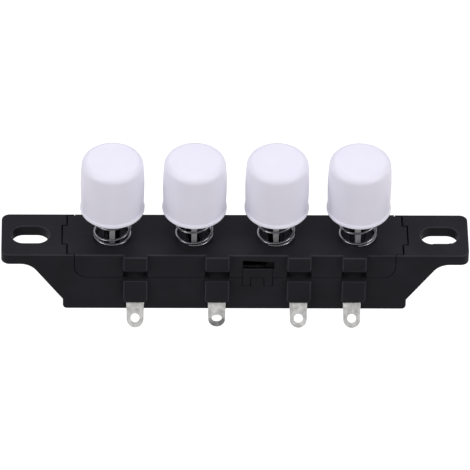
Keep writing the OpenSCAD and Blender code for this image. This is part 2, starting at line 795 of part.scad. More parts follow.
// Bronze strip folded to a U that closes the gap between a blade and the busbar
module contact_wiper(i) {
    r = wiper_w / 2;
    mid_y = bus_y - fit - r;
    mid_z = -wiper_bottom + r;
    leg_h = -carrier_top - carrier_h - fit - mid_z;
    color(contact_bronze) plate_yz(key_x(i) - wiper_l / 2, key_x(i) + wiper_l / 2)
        translate([mid_y, mid_z]) {
            difference() {
                circle(r);
                circle(r - wiper_t);
                translate([-r, 0]) square([2 * r, r]);
            }
            for (side = [-1, 1])
                translate([side * (r - wiper_t / 2) - wiper_t / 2, -eps]) square([wiper_t, leg_h + eps]);
        }
}

// ---------------------------------------------------------------- nodes

housing_base();
housing_cover();
terminal_speed(0);  // terminal_speed_1
terminal_speed(1);  // terminal_speed_2
terminal_speed(2);  // terminal_speed_3
terminal_common();
latch_plate();
latch_rod();
latch_spring();
key_cap(0);  // key_cap_1
key_cap(1);  // key_cap_2
key_cap(2);  // key_cap_3
key_cap(3);  // key_cap_4
key_stem(0);  // key_stem_1
key_stem(1);  // key_stem_2
key_stem(2);  // key_stem_3
key_stem(3);  // key_stem_4
key_spring(0, 0.31);  // key_spring_1
key_spring(1, 0.05);  // key_spring_2
key_spring(2, 0.07);  // key_spring_3
key_spring(3, 0);  // key_spring_4
contact_carrier(0);  // contact_carrier_1
contact_carrier(1);  // contact_carrier_2
contact_carrier(2);  // contact_carrier_3
contact_wiper(0);  // contact_wiper_1
contact_wiper(1);  // contact_wiper_2
contact_wiper(2);  // contact_wiper_3
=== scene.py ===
"""Visual model of a four-key piano switch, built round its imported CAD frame."""

import math

import bmesh
import bpy
from mathutils import Matrix, Vector
from mathutils.bvhtree import BVHTree
from mathutils.geometry import intersect_point_line


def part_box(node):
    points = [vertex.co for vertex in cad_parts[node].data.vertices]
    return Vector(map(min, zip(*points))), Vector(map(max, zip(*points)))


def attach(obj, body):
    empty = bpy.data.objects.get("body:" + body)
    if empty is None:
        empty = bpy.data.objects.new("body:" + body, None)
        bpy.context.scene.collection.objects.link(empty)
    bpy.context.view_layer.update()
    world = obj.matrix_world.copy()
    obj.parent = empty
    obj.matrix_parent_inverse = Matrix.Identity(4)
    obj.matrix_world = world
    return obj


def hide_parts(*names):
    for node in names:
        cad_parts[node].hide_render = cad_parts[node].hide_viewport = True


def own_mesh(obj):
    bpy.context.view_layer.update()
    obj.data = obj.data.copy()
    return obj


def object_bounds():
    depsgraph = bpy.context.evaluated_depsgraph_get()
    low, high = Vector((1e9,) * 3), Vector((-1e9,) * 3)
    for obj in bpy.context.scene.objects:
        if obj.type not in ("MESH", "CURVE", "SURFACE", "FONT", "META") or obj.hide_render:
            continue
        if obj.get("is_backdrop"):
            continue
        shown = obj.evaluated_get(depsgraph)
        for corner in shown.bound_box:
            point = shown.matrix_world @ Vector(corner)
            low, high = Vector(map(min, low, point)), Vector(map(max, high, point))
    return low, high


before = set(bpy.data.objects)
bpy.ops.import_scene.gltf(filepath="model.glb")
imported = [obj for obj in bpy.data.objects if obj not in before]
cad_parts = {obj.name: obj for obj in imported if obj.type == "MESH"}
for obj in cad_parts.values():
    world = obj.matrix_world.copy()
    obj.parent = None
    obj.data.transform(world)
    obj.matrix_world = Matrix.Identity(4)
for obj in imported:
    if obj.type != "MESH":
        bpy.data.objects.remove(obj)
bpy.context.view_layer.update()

bl_info = {
    "name": "Piano key switch",
    "version": (1, 0, 0),
    "blender": (4, 5, 0),
    "location": "3D View > Sidebar > Piano switch",
    "description": "Builds the pieces and the stage of a four-key piano switch",
    "category": "Object",
}

MM = 0.001
# The keys from left to right, and those of them that switch a speed
KEYS = (1, 2, 3, 4)
SPEEDS = (1, 2, 3)

# Corners that lie closer than this are one corner
MERGE = 2e-6
# Faces that turn less than this are one flat face
FLAT = math.radians(0.5)
# An edge that turns more than this is sharp
SHARP = math.radians(38)
# A face's outline that turns more than this goes round a corner
CORNER = math.radians(35)
# A surface that turns more than this has folded back on itself
FOLD = math.radians(150)

# Housing and cover are this close to each other along their joint
JOINT_REACH = 0.4 * MM
# In widths of a rounding: the room that it needs beside it, how far it stays from a spoilt point,
# and how far a point may lie from the surface before it counts as spoilt
ROOM = 2.1
CLEAR = 3
STRAY = 0.5
# A ball on a face lies free if this share of its radius round its middle is empty
FREE = 0.9

# Steps of a cap round its axis, and of each curve in its section
CAP_STEPS = 96
CURVE_STEPS = 8
# Segments of the roundings at a cap's top and rim
TOP_SEGMENTS = 10
RIM_SEGMENTS = 3
# Room round a spring's upper end in its seat, and over it
SEAT_ROOM = 0.7 * MM
SEAT_PLAY = 0.05 * MM

# Sides of the spring wire, and steps in each of its turns
WIRE_SIDES = 14
TURN_STEPS = 40
# How far clockwise of the front each key spring's lower wire end lies, as part of a turn
WIRE_ENDS = {1: 0.31, 2: 0.05, 3: 0.07, 4: 0.0}

# Nearly all that a noise gives lies between these
NOISE_RANGE = {"From Min": 0.3, "From Max": 0.7}

# Soft lamps: place and width in metres, power in watts, and tint
LAMPS = {
    "lamp_overhead": ((0.0, 0.0, 0.6), 0.22, 0.58, (1, 1, 1)),
    "lamp_left": ((-0.53, -0.25, 0.38), 0.25, 1.8, (1, 1, 1)),
    "lamp_right": ((0.53, -0.25, 0.38), 0.25, 1.85, (1, 1, 1)),
    # A cool sheen on the black plate
    "lamp_behind": ((0.0, 0.45, 0.42), 0.3, 0.55, (0.8, 0.78, 1.0)),
}
# From the middle to each side of the floor, in metres
FLOOR_HALF = 3
# Half the black card's width, and the Y and Z of its near and its far edge, in metres
CARD_HALF = 0.4
CARD_NEAR = (-0.1, -0.05)
CARD_FAR = (-0.5, 0.15)
# Width of the camera's sensor in millimetres, and the nearest and farthest that it sees in metres
SENSOR = 36
NEAREST = 0.05
FARTHEST = 20


def linear(hex_colour):
    """Linear RGBA of an sRGB hex colour."""
    channels = [int(hex_colour[i:i + 2], 16) / 255 for i in (1, 3, 5)]
    return [c / 12.92 if c <= 0.04045 else ((c + 0.055) / 1.055) ** 2.4 for c in channels] + [1]


def per_metre(size_mm):
    """Scale of a pattern whose features are this many millimetres apart."""
    return 1 / (size_mm * MM)


# ---------------------------------------------------------------- settings


def size(name, description, default, low=0.0, high=0.1):
    """A length that the user can change, in metres."""
    return bpy.props.FloatProperty(
        name=name, description=description, default=default, min=low, max=high,
        precision=5, unit="LENGTH", subtype="DISTANCE",
    )


def colour(name, description, hex_colour):
    """A colour that the user can change."""
    return bpy.props.FloatVectorProperty(
        name=name, description=description, default=linear(hex_colour), size=4,
        min=0, max=1, subtype="COLOR",
    )


class PIANO_PG_sizes(bpy.types.PropertyGroup):
    """Edge roundings and wire of the pieces"""

    mould_edge: size("Moulded edge", "Rounding of the housing's and cover's free edges", 0.25 * MM)
    thin_edge: size("Thin edge", "Rounding where the wall beside an edge is thin", 0.18 * MM)
    joint_edge: size("Joint edge", "Rounding along the joint of housing and cover", 0.07 * MM)
    press_edge: size("Pressed edge", "Rounding of the stamped steel edges", 0.1 * MM)
    lug_edge: size("Lug edge", "Rounding of the solder lugs' edges", 0.05 * MM)
    cap_round: size("Cap edge", "Rounding of a cap's top edge", 1.7 * MM)
    cap_rim: size("Cap rim", "Rounding of a cap's lower rim", 0.12 * MM)
    cap_over: size("Cap overhang", "How far the rim stands out past the solid cap's", 0.04 * MM)
    cap_rise: size("Cap rise", "How much higher the top lies than the solid cap's", 0.3 * MM)
    cap_lip: size("Cap lip", "How far a cap's foot stands out from its neck", 0.26 * MM)
    cap_lip_low: size("Lip foot", "Height of the upright band at the rim", 0.45 * MM)
    cap_lip_high: size("Lip height", "From the rim up to where the lip runs out into the neck", 1.05 * MM)
    cap_wall: size("Cap wall", "Thickness of a cap's wall", 1.1 * MM)
    cap_top: size("Cap top", "Thickness of a cap's top", 1.4 * MM)
    cap_taper: size("Cap taper", "How much wider the rim's radius is than the top's", 0.29 * MM)
    cap_belly: size("Cap belly", "How far a cap's side bulges out of the line from neck to top", 0.18 * MM)
    # Painted highlight: an edge gets it only where a ball of this radius lies free beside it
    highlight_reach: size("Highlight reach", "Radius of the open space that an edge needs for its painted highlight", 2.5 * MM)
    socket_d: size("Socket", "Diameter of the socket that takes the stem", 6.8 * MM)
    socket_lift: size("Socket lift", "From the rim up to the socket's lower end", 3.3 * MM)
    spring_wire: size("Spring wire", "Diameter of the key springs' wire", 0.5 * MM)
    spring_rise: size("Spring rise", "Rise of each open turn of a key spring", 3.3 * MM)


class PIANO_PG_colours(bpy.types.PropertyGroup):
    """Colours of the finishes"""

    housing: colour("Housing", "Black of the housing and the cover", "#232226")
    cap: colour("Caps", "White of the key caps", "#e7e4f1")
    steel: colour("Stems", "Zinc plating of the stems", "#c3c3c5")
    # Painted shade: darker than the stems' zinc, for the housing's shadow that the latch lies in
    latch: colour("Latch", "Zinc plating of the latch plate and its rod, darkened as painted shade", "#66666a")
    spring: colour("Springs", "Bright spring wire", "#77777c")
    tin: colour("Lugs", "Tin plating of the terminals", "#b9b8b7")
    bronze: colour("Wipers", "Phosphor bronze of the wipers", "#b98a57")
    carrier: colour("Carriers", "Black insulator of the carriers", "#2a2a2c")
    # Painted highlight: how much paler the roundings of the housing's open edges are made
    painted_edge_highlight: bpy.props.FloatProperty(
        name="Painted edge highlight", description="How much paler the housing's free edges are than its faces",
        default=2.2, min=1, max=10,
    )
    floor: colour("Floor", "Pale floor under the object", "#cbcbcb")


class PIANO_PG_stage(bpy.types.PropertyGroup):
    """Camera and light"""

    azimuth: bpy.props.FloatProperty(
        name="Azimuth", description="Camera's turn round the object from its front",
        default=math.radians(-1.6), unit="ROTATION", subtype="ANGLE",
    )
    elevation: bpy.props.FloatProperty(
        name="Elevation", description="Camera's height above the horizon",
        default=math.radians(42), unit="ROTATION", subtype="ANGLE",
    )
    roll: bpy.props.FloatProperty(
        name="Roll", description="Camera's turn about its own axis from a level row of keys",
        default=math.radians(0.15), unit="ROTATION", subtype="ANGLE",
    )
    distance: size("Distance", "From the camera to the middle of the ears", 1.506, 0.1, 10)
    lens: bpy.props.FloatProperty(
        name="Lens", description="Focal length in millimetres", default=513, min=10, max=2000,
    )
    floor_drop: size("Floor drop", "From the lowest point of the object to the floor", 45 * MM, 0, 1)
    sky: bpy.props.FloatProperty(
        name="Sky", description="Strength of the even light from all sides", default=0.4, min=0, max=2,
    )
    glow: bpy.props.FloatProperty(
        name="Floor glow", description="What the floor adds to its own colour for the eye alone",
        default=0.6, min=0, max=1,
    )


# ---------------------------------------------------------------- mesh helpers


def cad_copy(name):
    """A bmesh copy of a CAD node with its loose triangles joined and its flat faces made whole."""
    made = bmesh.new()
    made.from_mesh(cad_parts[name].data)
    bmesh.ops.remove_doubles(made, verts=made.verts, dist=MERGE)
    bmesh.ops.dissolve_limit(made, angle_limit=FLAT, verts=made.verts, edges=made.edges)
    return made


def heading(loop):
    """The way that a face's outline runs along this loop."""
    return loop.link_loop_next.vert.co - loop.vert.co


def side_after(loop, onward):
    """Length of the face's side that follows the loop's own side round the next corner."""
    here, length, turned = loop, 0.0, False
    while True:
        after = here.link_loop_next if onward else here.link_loop_prev
        if after == loop:
            return length if turned else math.inf
        if heading(here).angle(heading(after), 0) > CORNER:
            if turned:
                return length
            turned = True
        here = after
        if turned:
            length += here.edge.calc_length()


def room_beside(edge):
    """How much face lies beside an edge before the next corner."""
    return min(side_after(loop, onward) for loop in edge.link_loops for onward in (True, False))


def bevel(made, edges, width, segments):
    """Rounds these edges and gives back the faces of the roundings."""
    return bmesh.ops.bevel(
        made, geom=edges, offset=width, offset_type="OFFSET", segments=segments,
        profile=0.5, affect="EDGES", clamp_overlap=False, material=-1,
    )["faces"]


def spoilt_points(made, before, reach):
    """Corners where the surface turns back on itself or stands off the surface that it had before."""
    folded = {
        v for e in made.edges if len(e.link_faces) == 2 and e.calc_face_angle() > FOLD for v in e.verts}
    return [
        v.co.copy() for v in made.verts
        if v in folded or before.find_nearest(v.co)[3] > reach
    ]


def distance_to(edge, point):
    """How far a point lies from an edge."""
    start, end = (v.co for v in edge.verts)
    _, share = intersect_point_line(point, start, end)
    return (start.lerp(end, min(max(share, 0), 1)) - point).length


def round_edges(made, width, segments=3, wanted=lambda edge: True):
    """Rounds the sharp edges that are wanted and have room, as a mould or a press leaves them.

    Each trial on a copy shows where the roundings would go astray, and the edges there stay sharp.
    """
    before = BVHTree.FromBMesh(made)
    made.edges.index_update()
    made.edges.ensure_lookup_table()
    chosen = [
        e.index for e in made.edges
        if len(e.link_faces) == 2 and e.calc_face_angle() > SHARP
        and room_beside(e) > ROOM * width and wanted(e)
    ]
    while True:
        trial = made.copy()
        trial.edges.ensure_lookup_table()
        bevel(trial, [trial.edges[i] for i in chosen], width, segments)
        spoilt = spoilt_points(trial, before, STRAY * width)
        trial.free()
        kept = [i for i in chosen if all(distance_to(made.edges[i], p) > CLEAR * width for p in spoilt)]
        if len(kept) == len(chosen):
            break
        chosen = kept
    return bevel(made, [made.edges[i] for i in chosen], width, segments)


def finish_piece(made, name, body, material, replaced):
    """Makes a piece of the bmesh, smooth where its surface is, on its body and in place of its CAD nodes."""
    for face in made.faces:
        face.smooth = True
    for edge in made.edges:
        edge.smooth = len(edge.link_faces) == 2 and edge.calc_face_angle() < SHARP
    mesh = bpy.data.meshes.new(name)
    made.to_mesh(mesh)
    made.free()
    mesh.materials.append(material)
    piece = bpy.data.objects.new(name, mesh)
    bpy.context.scene.collection.objects.link(piece)
    weighted = piece.modifiers.new("flat_faces_stay_flat", "WEIGHTED_NORMAL")
    weighted.keep_sharp = True
    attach(piece, body)
    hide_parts(*replaced)
    return piece


def paint(name, material):
    """Gives a CAD node that keeps its own mesh a finish."""
    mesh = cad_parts[name].data
    mesh.materials.clear()
    mesh.materials.append(material)


# ---------------------------------------------------------------- materials


def add(tree, kind, inputs=(), **settings):
    """Adds one node. Each input is a value, or the output of another node to link."""
    made = tree.nodes.new(kind)
    for key, value in settings.items():
        setattr(made, key, value)
    for key, value in dict(inputs).items():
        if isinstance(value, bpy.types.NodeSocket):
            tree.links.new(value, made.inputs[key])
        else:
            made.inputs[key].default_value = value
    return made


def new_finish(name):
    """An empty material, its node tree, its Object coordinates and its output."""
    material = bpy.data.materials.new(name)
    material.use_nodes = True
    tree = material.node_tree
    tree.nodes.clear()
    where = add(tree, "ShaderNodeTexCoord").outputs["Object"]
    output = add(tree, "ShaderNodeOutputMaterial")
    return material, tree, where, output


def moulded_black_abs(colours):
    """ABS moulded in a spark-eroded tool: matt black with a fine grain, and a painted highlight that makes
    its open edges paler.
    """
    material, tree, where, output = new_finish("moulded_black_abs")
    # Coarser than the real grain, which would be too fine to show
    grain = add(tree, "ShaderNodeTexNoise", {
        "Vector": where, "Scale": per_metre(0.35), "Detail": 3, "Roughness": 0.6})
    flow = add(tree, "ShaderNodeTexNoise", {
        "Vector": where, "Scale": per_metre(9), "Detail": 2, "Roughness": 0.5})
    tone = add(tree, "ShaderNodeMapRange", {
        "Value": flow.outputs["Fac"], **NOISE_RANGE, "To Min": 0.85, "To Max": 1.15})
    # Painted highlight: the roundings of the open edges are made paler by this attribute
    edge = add(tree, "ShaderNodeAttribute", attribute_name="painted_edge_highlight")
    paler = add(tree, "ShaderNodeMapRange", {
        "Value": edge.outputs["Fac"], "To Min": 1.0, "To Max": colours.painted_edge_highlight})
    both = add(tree, "ShaderNodeMath", {
        0: tone.outputs["Result"], 1: paler.outputs["Result"]}, operation="MULTIPLY")
    shade = add(tree, "ShaderNodeVectorMath", {
        0: list(colours.housing)[:3], "Scale": both.outputs["Value"]}, operation="SCALE")
    gloss = add(tree, "ShaderNodeMapRange", {
        "Value": grain.outputs["Fac"], **NOISE_RANGE, "To Min": 0.36, "To Max": 0.5})
    relief = add(tree, "ShaderNodeBump", {
        "Height": grain.outputs["Fac"], "Strength": 0.35, "Distance": 0.012 * MM})
    surface = add(tree, "ShaderNodeBsdfPrincipled", {
        "Base Color": shade.outputs["Vector"], "Roughness": gloss.outputs["Result"],
        "IOR": 1.53, "Specular IOR Level": 0.03, "Normal": relief.outputs["Normal"]})
    tree.links.new(surface.outputs["BSDF"], output.inputs["Surface"])
    return material


def milky_white_abs(colours):
    """Milky ABS from a polished tool: satin, and light soaks a little way in, so that edges stay soft."""
    material, tree, where, output = new_finish("milky_white_abs")
    cloud = add(tree, "ShaderNodeTexNoise", {
        "Vector": where, "Scale": per_metre(6), "Detail": 2, "Roughness": 0.5})
    tone = add(tree, "ShaderNodeMapRange", {
        "Value": cloud.outputs["Fac"], **NOISE_RANGE, "To Min": 0.985, "To Max": 1.01})
    shade = add(tree, "ShaderNodeVectorMath", {
        0: list(colours.cap)[:3], "Scale": tone.outputs["Result"]}, operation="SCALE")
    fine = add(tree, "ShaderNodeTexNoise", {
        "Vector": where, "Scale": per_metre(0.6), "Detail": 2, "Roughness": 0.5})
    relief = add(tree, "ShaderNodeBump", {
        "Height": fine.outputs["Fac"], "Strength": 0.1, "Distance": 0.01 * MM})
    surface = add(tree, "ShaderNodeBsdfPrincipled", {
        "Base Color": shade.outputs["Vector"], "Roughness": 0.42, "IOR": 1.53,
        "Subsurface Weight": 0.25, "Subsurface Radius": (1, 0.95, 1.1), "Subsurface Scale": 0.8 * MM,
        "Specular IOR Level": 0.35, "Normal": relief.outputs["Normal"]})
    tree.links.new(surface.outputs["BSDF"], output.inputs["Surface"])
    return material


def metal_skin(name, base, grain_mm, roughness, spread, relief_mm, streak=1, metal=1.0):
    """Plated or bare metal: patches of slightly different tone, and a fine grain that varies the gloss.

    The grain is coarser than the real one, which would be too fine to show. With a streak above 1
    it is drawn out that many times along the strip, across X.
    """
    patch_mm = 5 * grain_mm
    unevenness = 0.07
    material, tree, where, output = new_finish(name)
    drawn = add(tree, "ShaderNodeMapping", {"Vector": where, "Scale": (1, 1 / streak, 1 / streak)})
    grain = add(tree, "ShaderNodeTexNoise", {
        "Vector": drawn.outputs["Vector"], "Scale": per_metre(grain_mm), "Detail": 3, "Roughness": 0.6})
    patches = add(tree, "ShaderNodeTexNoise", {
        "Vector": where, "Scale": per_metre(patch_mm), "Detail": 2, "Roughness": 0.5})
    tone = add(tree, "ShaderNodeMapRange", {
        "Value": patches.outputs["Fac"], **NOISE_RANGE, "To Min": 1 - spread, "To Max": 1 + spread})
    shade = add(tree, "ShaderNodeVectorMath", {
        0: list(base)[:3], "Scale": tone.outputs["Result"]}, operation="SCALE")
    gloss = add(tree, "ShaderNodeMapRange", {
        "Value": grain.outputs["Fac"], **NOISE_RANGE,
        "To Min": roughness - unevenness, "To Max": roughness + unevenness})
    relief = add(tree, "ShaderNodeBump", {
        "Height": grain.outputs["Fac"], "Strength": 0.4, "Distance": relief_mm * MM})
    surface = add(tree, "ShaderNodeBsdfPrincipled", {
        "Base Color": shade.outputs["Vector"], "Metallic": metal, "Roughness": gloss.outputs["Result"],
        "Normal": relief.outputs["Normal"]})
    tree.links.new(surface.outputs["BSDF"], output.inputs["Surface"])
    return material


def glass_filled_nylon(colours):
    """Black nylon with glass fibre: matt, with a short-fibre fleck."""
    material, tree, where, output = new_finish("glass_filled_nylon")
    # Coarser than the real fibres, which would be too fine to show
    fleck = add(tree, "ShaderNodeTexNoise", {
        "Vector": where, "Scale": per_metre(0.3), "Detail": 2, "Roughness": 0.5})
    tone = add(tree, "ShaderNodeMapRange", {
        "Value": fleck.outputs["Fac"], **NOISE_RANGE, "To Min": 0.93, "To Max": 1.05})
    shade = add(tree, "ShaderNodeVectorMath", {
        0: list(colours.carrier)[:3], "Scale": tone.outputs["Result"]}, operation="SCALE")
    surface = add(tree, "ShaderNodeBsdfPrincipled", {
        "Base Color": shade.outputs["Vector"], "Roughness": 0.6, "IOR": 1.53, "Specular IOR Level": 0.4})
    tree.links.new(surface.outputs["BSDF"], output.inputs["Surface"])
    return material


def finish_named(name):
    """The finish of that name, made the first time that a piece asks for it."""
    found = bpy.data.materials.get(name)
    if found:
        return found
    colours = bpy.context.scene.piano_colours
    if name == "moulded_black_abs":
        return moulded_black_abs(colours)
    if name == "milky_white_abs":
        return milky_white_abs(colours)
    if name == "glass_filled_nylon":
        return glass_filled_nylon(colours)
    # Zinc on stamped steel: dull silver, a little cloudy
    if name == "zinc_plated_steel":
        return metal_skin(
            name, colours.steel, grain_mm=0.5, roughness=0.5, spread=0.14, relief_mm=0.03, metal=0.45)
    # The same zinc, darkened as painted shade for the housing's shadow round the latch, and glossier
    if name == "zinc_steel_in_painted_shade":
        return metal_skin(
            name, colours.latch, grain_mm=0.5, roughness=0.4, spread=0.14, relief_mm=0.02, metal=0.45)
    # Drawn spring wire: bright, with fine lines along it too small to show
    if name == "drawn_spring_wire":
        return metal_skin(
            name, colours.spring, grain_mm=0.4, roughness=0.24, spread=0.05, relief_mm=0.01)
    # Hot tin on rolled brass: silver, with the strip's rolling lines still showing
    if name == "hot_tinned_brass":
        return metal_skin(
            name, colours.tin, grain_mm=0.25, roughness=0.4, spread=0.26, relief_mm=0.02, streak=9,
            metal=0.9)
    # Rolled phosphor bronze: warm and smooth
    if name == "rolled_bronze":
        return metal_skin(
            name, colours.bronze, grain_mm=0.4, roughness=0.3, spread=0.05, relief_mm=0.01)
    raise ValueError(f"There is no finish named {name}")


# ---------------------------------------------------------------- pieces


class PIANO_OT_housing(bpy.types.Operator):
    """Housing and cover, with the rounded edges of the moulding"""

    bl_idname = "piano.housing"
    bl_label = "Housing and cover"

    def execute(self, context):
        sizes = context.scene.piano_sizes
        for name, mate in (("housing_base", "housing_cover"), ("housing_cover", "housing_base")):
            beside = cad_copy(mate)
            mate_tree = BVHTree.FromBMesh(beside)
            beside.free()
            made = cad_copy(name)
            own_tree = BVHTree.FromBMesh(made)

            def at_joint(edge):
                middle = (edge.verts[0].co + edge.verts[1].co) / 2
                return mate_tree.find_nearest(middle, JOINT_REACH)[0] is not None

            def out_in_the_open(face):
                """Whether a ball of the highlight's reach can lie on the face without touching anything
                else, so that the face gets the painted highlight.
                """
                centre = face.calc_center_median() + face.normal * sizes.highlight_reach
                return all(
                    tree.find_nearest(centre)[3] > FREE * sizes.highlight_reach for tree in (own_tree, mate_tree))

            # Painted highlight: the roundings of open edges are marked to be made paler, those along the
            # joint are not
            painted_edge_highlight = made.faces.layers.float.new("painted_edge_highlight")
            # The narrower rounding goes to the edges that had no room for the wider one
            for width in (sizes.mould_edge, sizes.thin_edge):
                for face in round_edges(made, width, wanted=lambda edge: not at_joint(edge)):
                    face[painted_edge_highlight] = float(out_in_the_open(face))
            for face in round_edges(made, sizes.joint_edge, segments=2, wanted=at_joint):
                face[painted_edge_highlight] = 0.0
            finish_piece(
                made, name.replace("housing_", "moulded_"), "housing",
                finish_named("moulded_black_abs"), [name])
        return {"FINISHED"}


class PIANO_OT_terminals(bpy.types.Operator):
    """Tinned terminals with their solder lugs"""

    bl_idname = "piano.terminals"
    bl_label = "Terminals"

    def execute(self, context):
        for name in [f"terminal_speed_{n}" for n in SPEEDS] + ["terminal_common"]:
            made = cad_copy(name)
            round_edges(made, context.scene.piano_sizes.lug_edge, segments=2)
            finish_piece(
                made, name.replace("terminal_", "tinned_"), "housing",
                finish_named("hot_tinned_brass"), [name])
        return {"FINISHED"}


class PIANO_OT_stems(bpy.types.Operator):
    """Stamped stems of the four keys"""

    bl_idname = "piano.stems"
    bl_label = "Stems"

    def execute(self, context):
        for n in KEYS:
            made = cad_copy(f"key_stem_{n}")
            round_edges(made, context.scene.piano_sizes.press_edge)
            finish_piece(
                made, f"stamped_stem_{n}", f"key_{n}",
                finish_named("zinc_plated_steel"), [f"key_stem_{n}"])
        return {"FINISHED"}


def cap_outline(sizes, rim_r, height, seat_r, seat_z):
    """Half section of a cap from its top's middle, round the flared rim, to the socket's middle."""
    top_r = rim_r - sizes.cap_taper
    neck_r = rim_r - sizes.cap_lip
    shoulder = height - sizes.cap_round
    downwards = [k / CURVE_STEPS for k in range(CURVE_STEPS, -1, -1)]
    # From the shoulder to the neck the side bulges out by a parabola that is highest halfway
    belly = [
        (neck_r + (top_r - neck_r) * share + sizes.cap_belly * 4 * share * (1 - share),
         sizes.cap_lip_high + (shoulder - sizes.cap_lip_high) * share)
        for share in downwards[:-1]]
    # From there it swings out to the rim, upright at both ends of the lip
    flare = [
        (neck_r + sizes.cap_lip * (1 - share ** 2 * (3 - 2 * share)),
         sizes.cap_lip_low + (sizes.cap_lip_high - sizes.cap_lip_low) * share)
        for share in downwards]
    inner = rim_r - sizes.cap_wall
    inner_top = top_r - sizes.cap_wall
    ceiling = height - sizes.cap_top
    socket_r = sizes.socket_d / 2
    return [
        (0, height), (top_r, height), *belly, *flare, (rim_r, 0), (inner, 0), (inner_top, ceiling),
        (seat_r, ceiling), (seat_r, seat_z), (socket_r, seat_z),
        (socket_r, sizes.socket_lift), (0, sizes.socket_lift),
    ]


class PIANO_OT_caps(bpy.types.Operator):
    """Round key caps, turned about their axes from one section"""

    bl_idname = "piano.caps"
    bl_label = "Caps"

    def execute(self, context):
        sizes = context.scene.piano_sizes
        for n in KEYS:
            low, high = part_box(f"key_cap_{n}")
            spring_low, spring_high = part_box(f"key_spring_{n}")
            rim_r = (high.x - low.x) / 2 + sizes.cap_over
            top_z = high.z + sizes.cap_rise
            axis = Vector(((low.x + high.x) / 2, (low.y + high.y) / 2, low.z))
            seat_r = (spring_high.x - spring_low.x) / 2 + SEAT_ROOM
            seat_z = spring_high.z + SEAT_PLAY - low.z
            outline = cap_outline(sizes, rim_r, top_z - low.z, seat_r, seat_z)
            made = bmesh.new()
            line = [made.verts.new(axis + Vector((0, -r, z))) for r, z in outline]
            edges = [made.edges.new(pair) for pair in zip(line, line[1:])]
            bmesh.ops.spin(
                made, geom=line + edges, cent=axis, axis=(0, 0, 1), angle=2 * math.pi,
                steps=CAP_STEPS, use_merge=True)
            bmesh.ops.remove_doubles(made, verts=made.verts, dist=MERGE)
            bmesh.ops.recalc_face_normals(made, faces=made.faces)
            self.round_ring(made, top_z, sizes.cap_round, TOP_SEGMENTS)
            self.round_ring(made, low.z, sizes.cap_rim, RIM_SEGMENTS)
            finish_piece(
                made, f"moulded_cap_{n}", f"key_{n}",
                finish_named("milky_white_abs"), [f"key_cap_{n}"])
        return {"FINISHED"}

    @staticmethod
    def round_ring(made, z, width, segments):
        """Rounds the circular edges that lie at one height."""
        ring = [
            e for e in made.edges
            if all(abs(v.co.z - z) < MERGE for v in e.verts)
            and abs(e.calc_face_angle(0)) > SHARP
        ]
        bevel(made, ring, width, segments)


class PIANO_OT_springs(bpy.types.Operator):
    """Bare compression springs under the caps"""

    bl_idname = "piano.springs"
    bl_label = "Key springs"

    def execute(self, context):
        wire = context.scene.piano_sizes.spring_wire
        rise = context.scene.piano_sizes.spring_rise
        for n, start in WIRE_ENDS.items():
            low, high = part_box(f"key_spring_{n}")
            self.coil(n, start, low, high, wire, rise)
        return {"FINISHED"}

    @staticmethod
    def coil(n, start, low, high, wire, rise):
        """One spring: a closed turn, open turns and a closed turn, swept step by step."""
        radius = (high.x - low.x - wire) / 2
        # The two closed turns rise by a wire each, and the wire itself adds one more
        open_turns = (high.z - low.z - 3 * wire) / rise
        turns = open_turns + 2
        steps = round(turns * TURN_STEPS)
        step = turns / steps
        axis = Vector(((low.x + high.x) / 2, 0, 0))
        begin = -math.pi / 2 - 2 * math.pi * start
        made = bmesh.new()
        place = (
            Matrix.Translation(axis + Vector((0, 0, low.z + wire / 2)))
            @ Matrix.Rotation(begin, 4, "Z")
            @ Matrix.Translation((radius, 0, 0))
            @ Matrix.Rotation(math.pi / 2, 4, "X")
        )
        ring = bmesh.ops.create_circle(
            made, cap_ends=False, segments=WIRE_SIDES, radius=wire / 2, matrix=place)
        first = ring["verts"]
        last = list(first) + list({e for v in first for e in v.link_edges})
        for k in range(steps):
            middle = (k + 0.5) * step
            pitch = rise if 1 < middle < 1 + open_turns else wire
            swept = bmesh.ops.spin(
                made, geom=last, cent=axis, axis=(0, 0, 1), dvec=(0, 0, pitch * step),
                angle=2 * math.pi * step, steps=1)
            last = swept["geom_last"]
        bmesh.ops.holes_fill(made, edges=[e for e in made.edges if e.is_boundary], sides=WIRE_SIDES)
        bmesh.ops.recalc_face_normals(made, faces=made.faces)
        spring = finish_piece(
            made, f"wire_spring_{n}", "housing",
            finish_named("drawn_spring_wire"), [f"key_spring_{n}"])
        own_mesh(spring)


class PIANO_OT_inner(bpy.types.Operator):
    """Finishes of the latch, the carriers and the wipers inside the housing"""

    bl_idname = "piano.inner"
    bl_label = "Inner pieces"

    def execute(self, context):
        paint("latch_plate", finish_named("zinc_steel_in_painted_shade"))
        paint("latch_rod", finish_named("zinc_steel_in_painted_shade"))
        paint("latch_spring", finish_named("drawn_spring_wire"))
        for n in SPEEDS:
            paint(f"contact_carrier_{n}", finish_named("glass_filled_nylon"))
            paint(f"contact_wiper_{n}", finish_named("rolled_bronze"))
        return {"FINISHED"}


# ---------------------------------------------------------------- stage


def white_to_the_eye(tree):
    """1 for the camera's rays and for what metal and glass show, 0 for light that falls on the object."""
    path = add(tree, "ShaderNodeLightPath")
    mirrored = add(tree, "ShaderNodeMath", {
        0: path.outputs["Is Camera Ray"], 1: path.outputs["Is Glossy Ray"]}, operation="MAXIMUM")
    return add(tree, "ShaderNodeMath", {
        0: mirrored.outputs["Value"], 1: path.outputs["Is Transmission Ray"]},
        operation="MAXIMUM").outputs["Value"]


def soft_lamp(name, location, width, power, tint):
    """A square soft lamp that looks at the origin and isn't seen itself."""
    lamp = bpy.data.lights.new(name, "AREA")
    lamp.color = tint
    lamp.shape = "SQUARE"
    lamp.size = width
    lamp.energy = power
    holder = bpy.data.objects.new(name, lamp)
    holder.location = location
    holder.rotation_euler = (-Vector(location)).to_track_quat("-Z", "Y").to_euler()
    holder.visible_camera = False
    bpy.context.scene.collection.objects.link(holder)


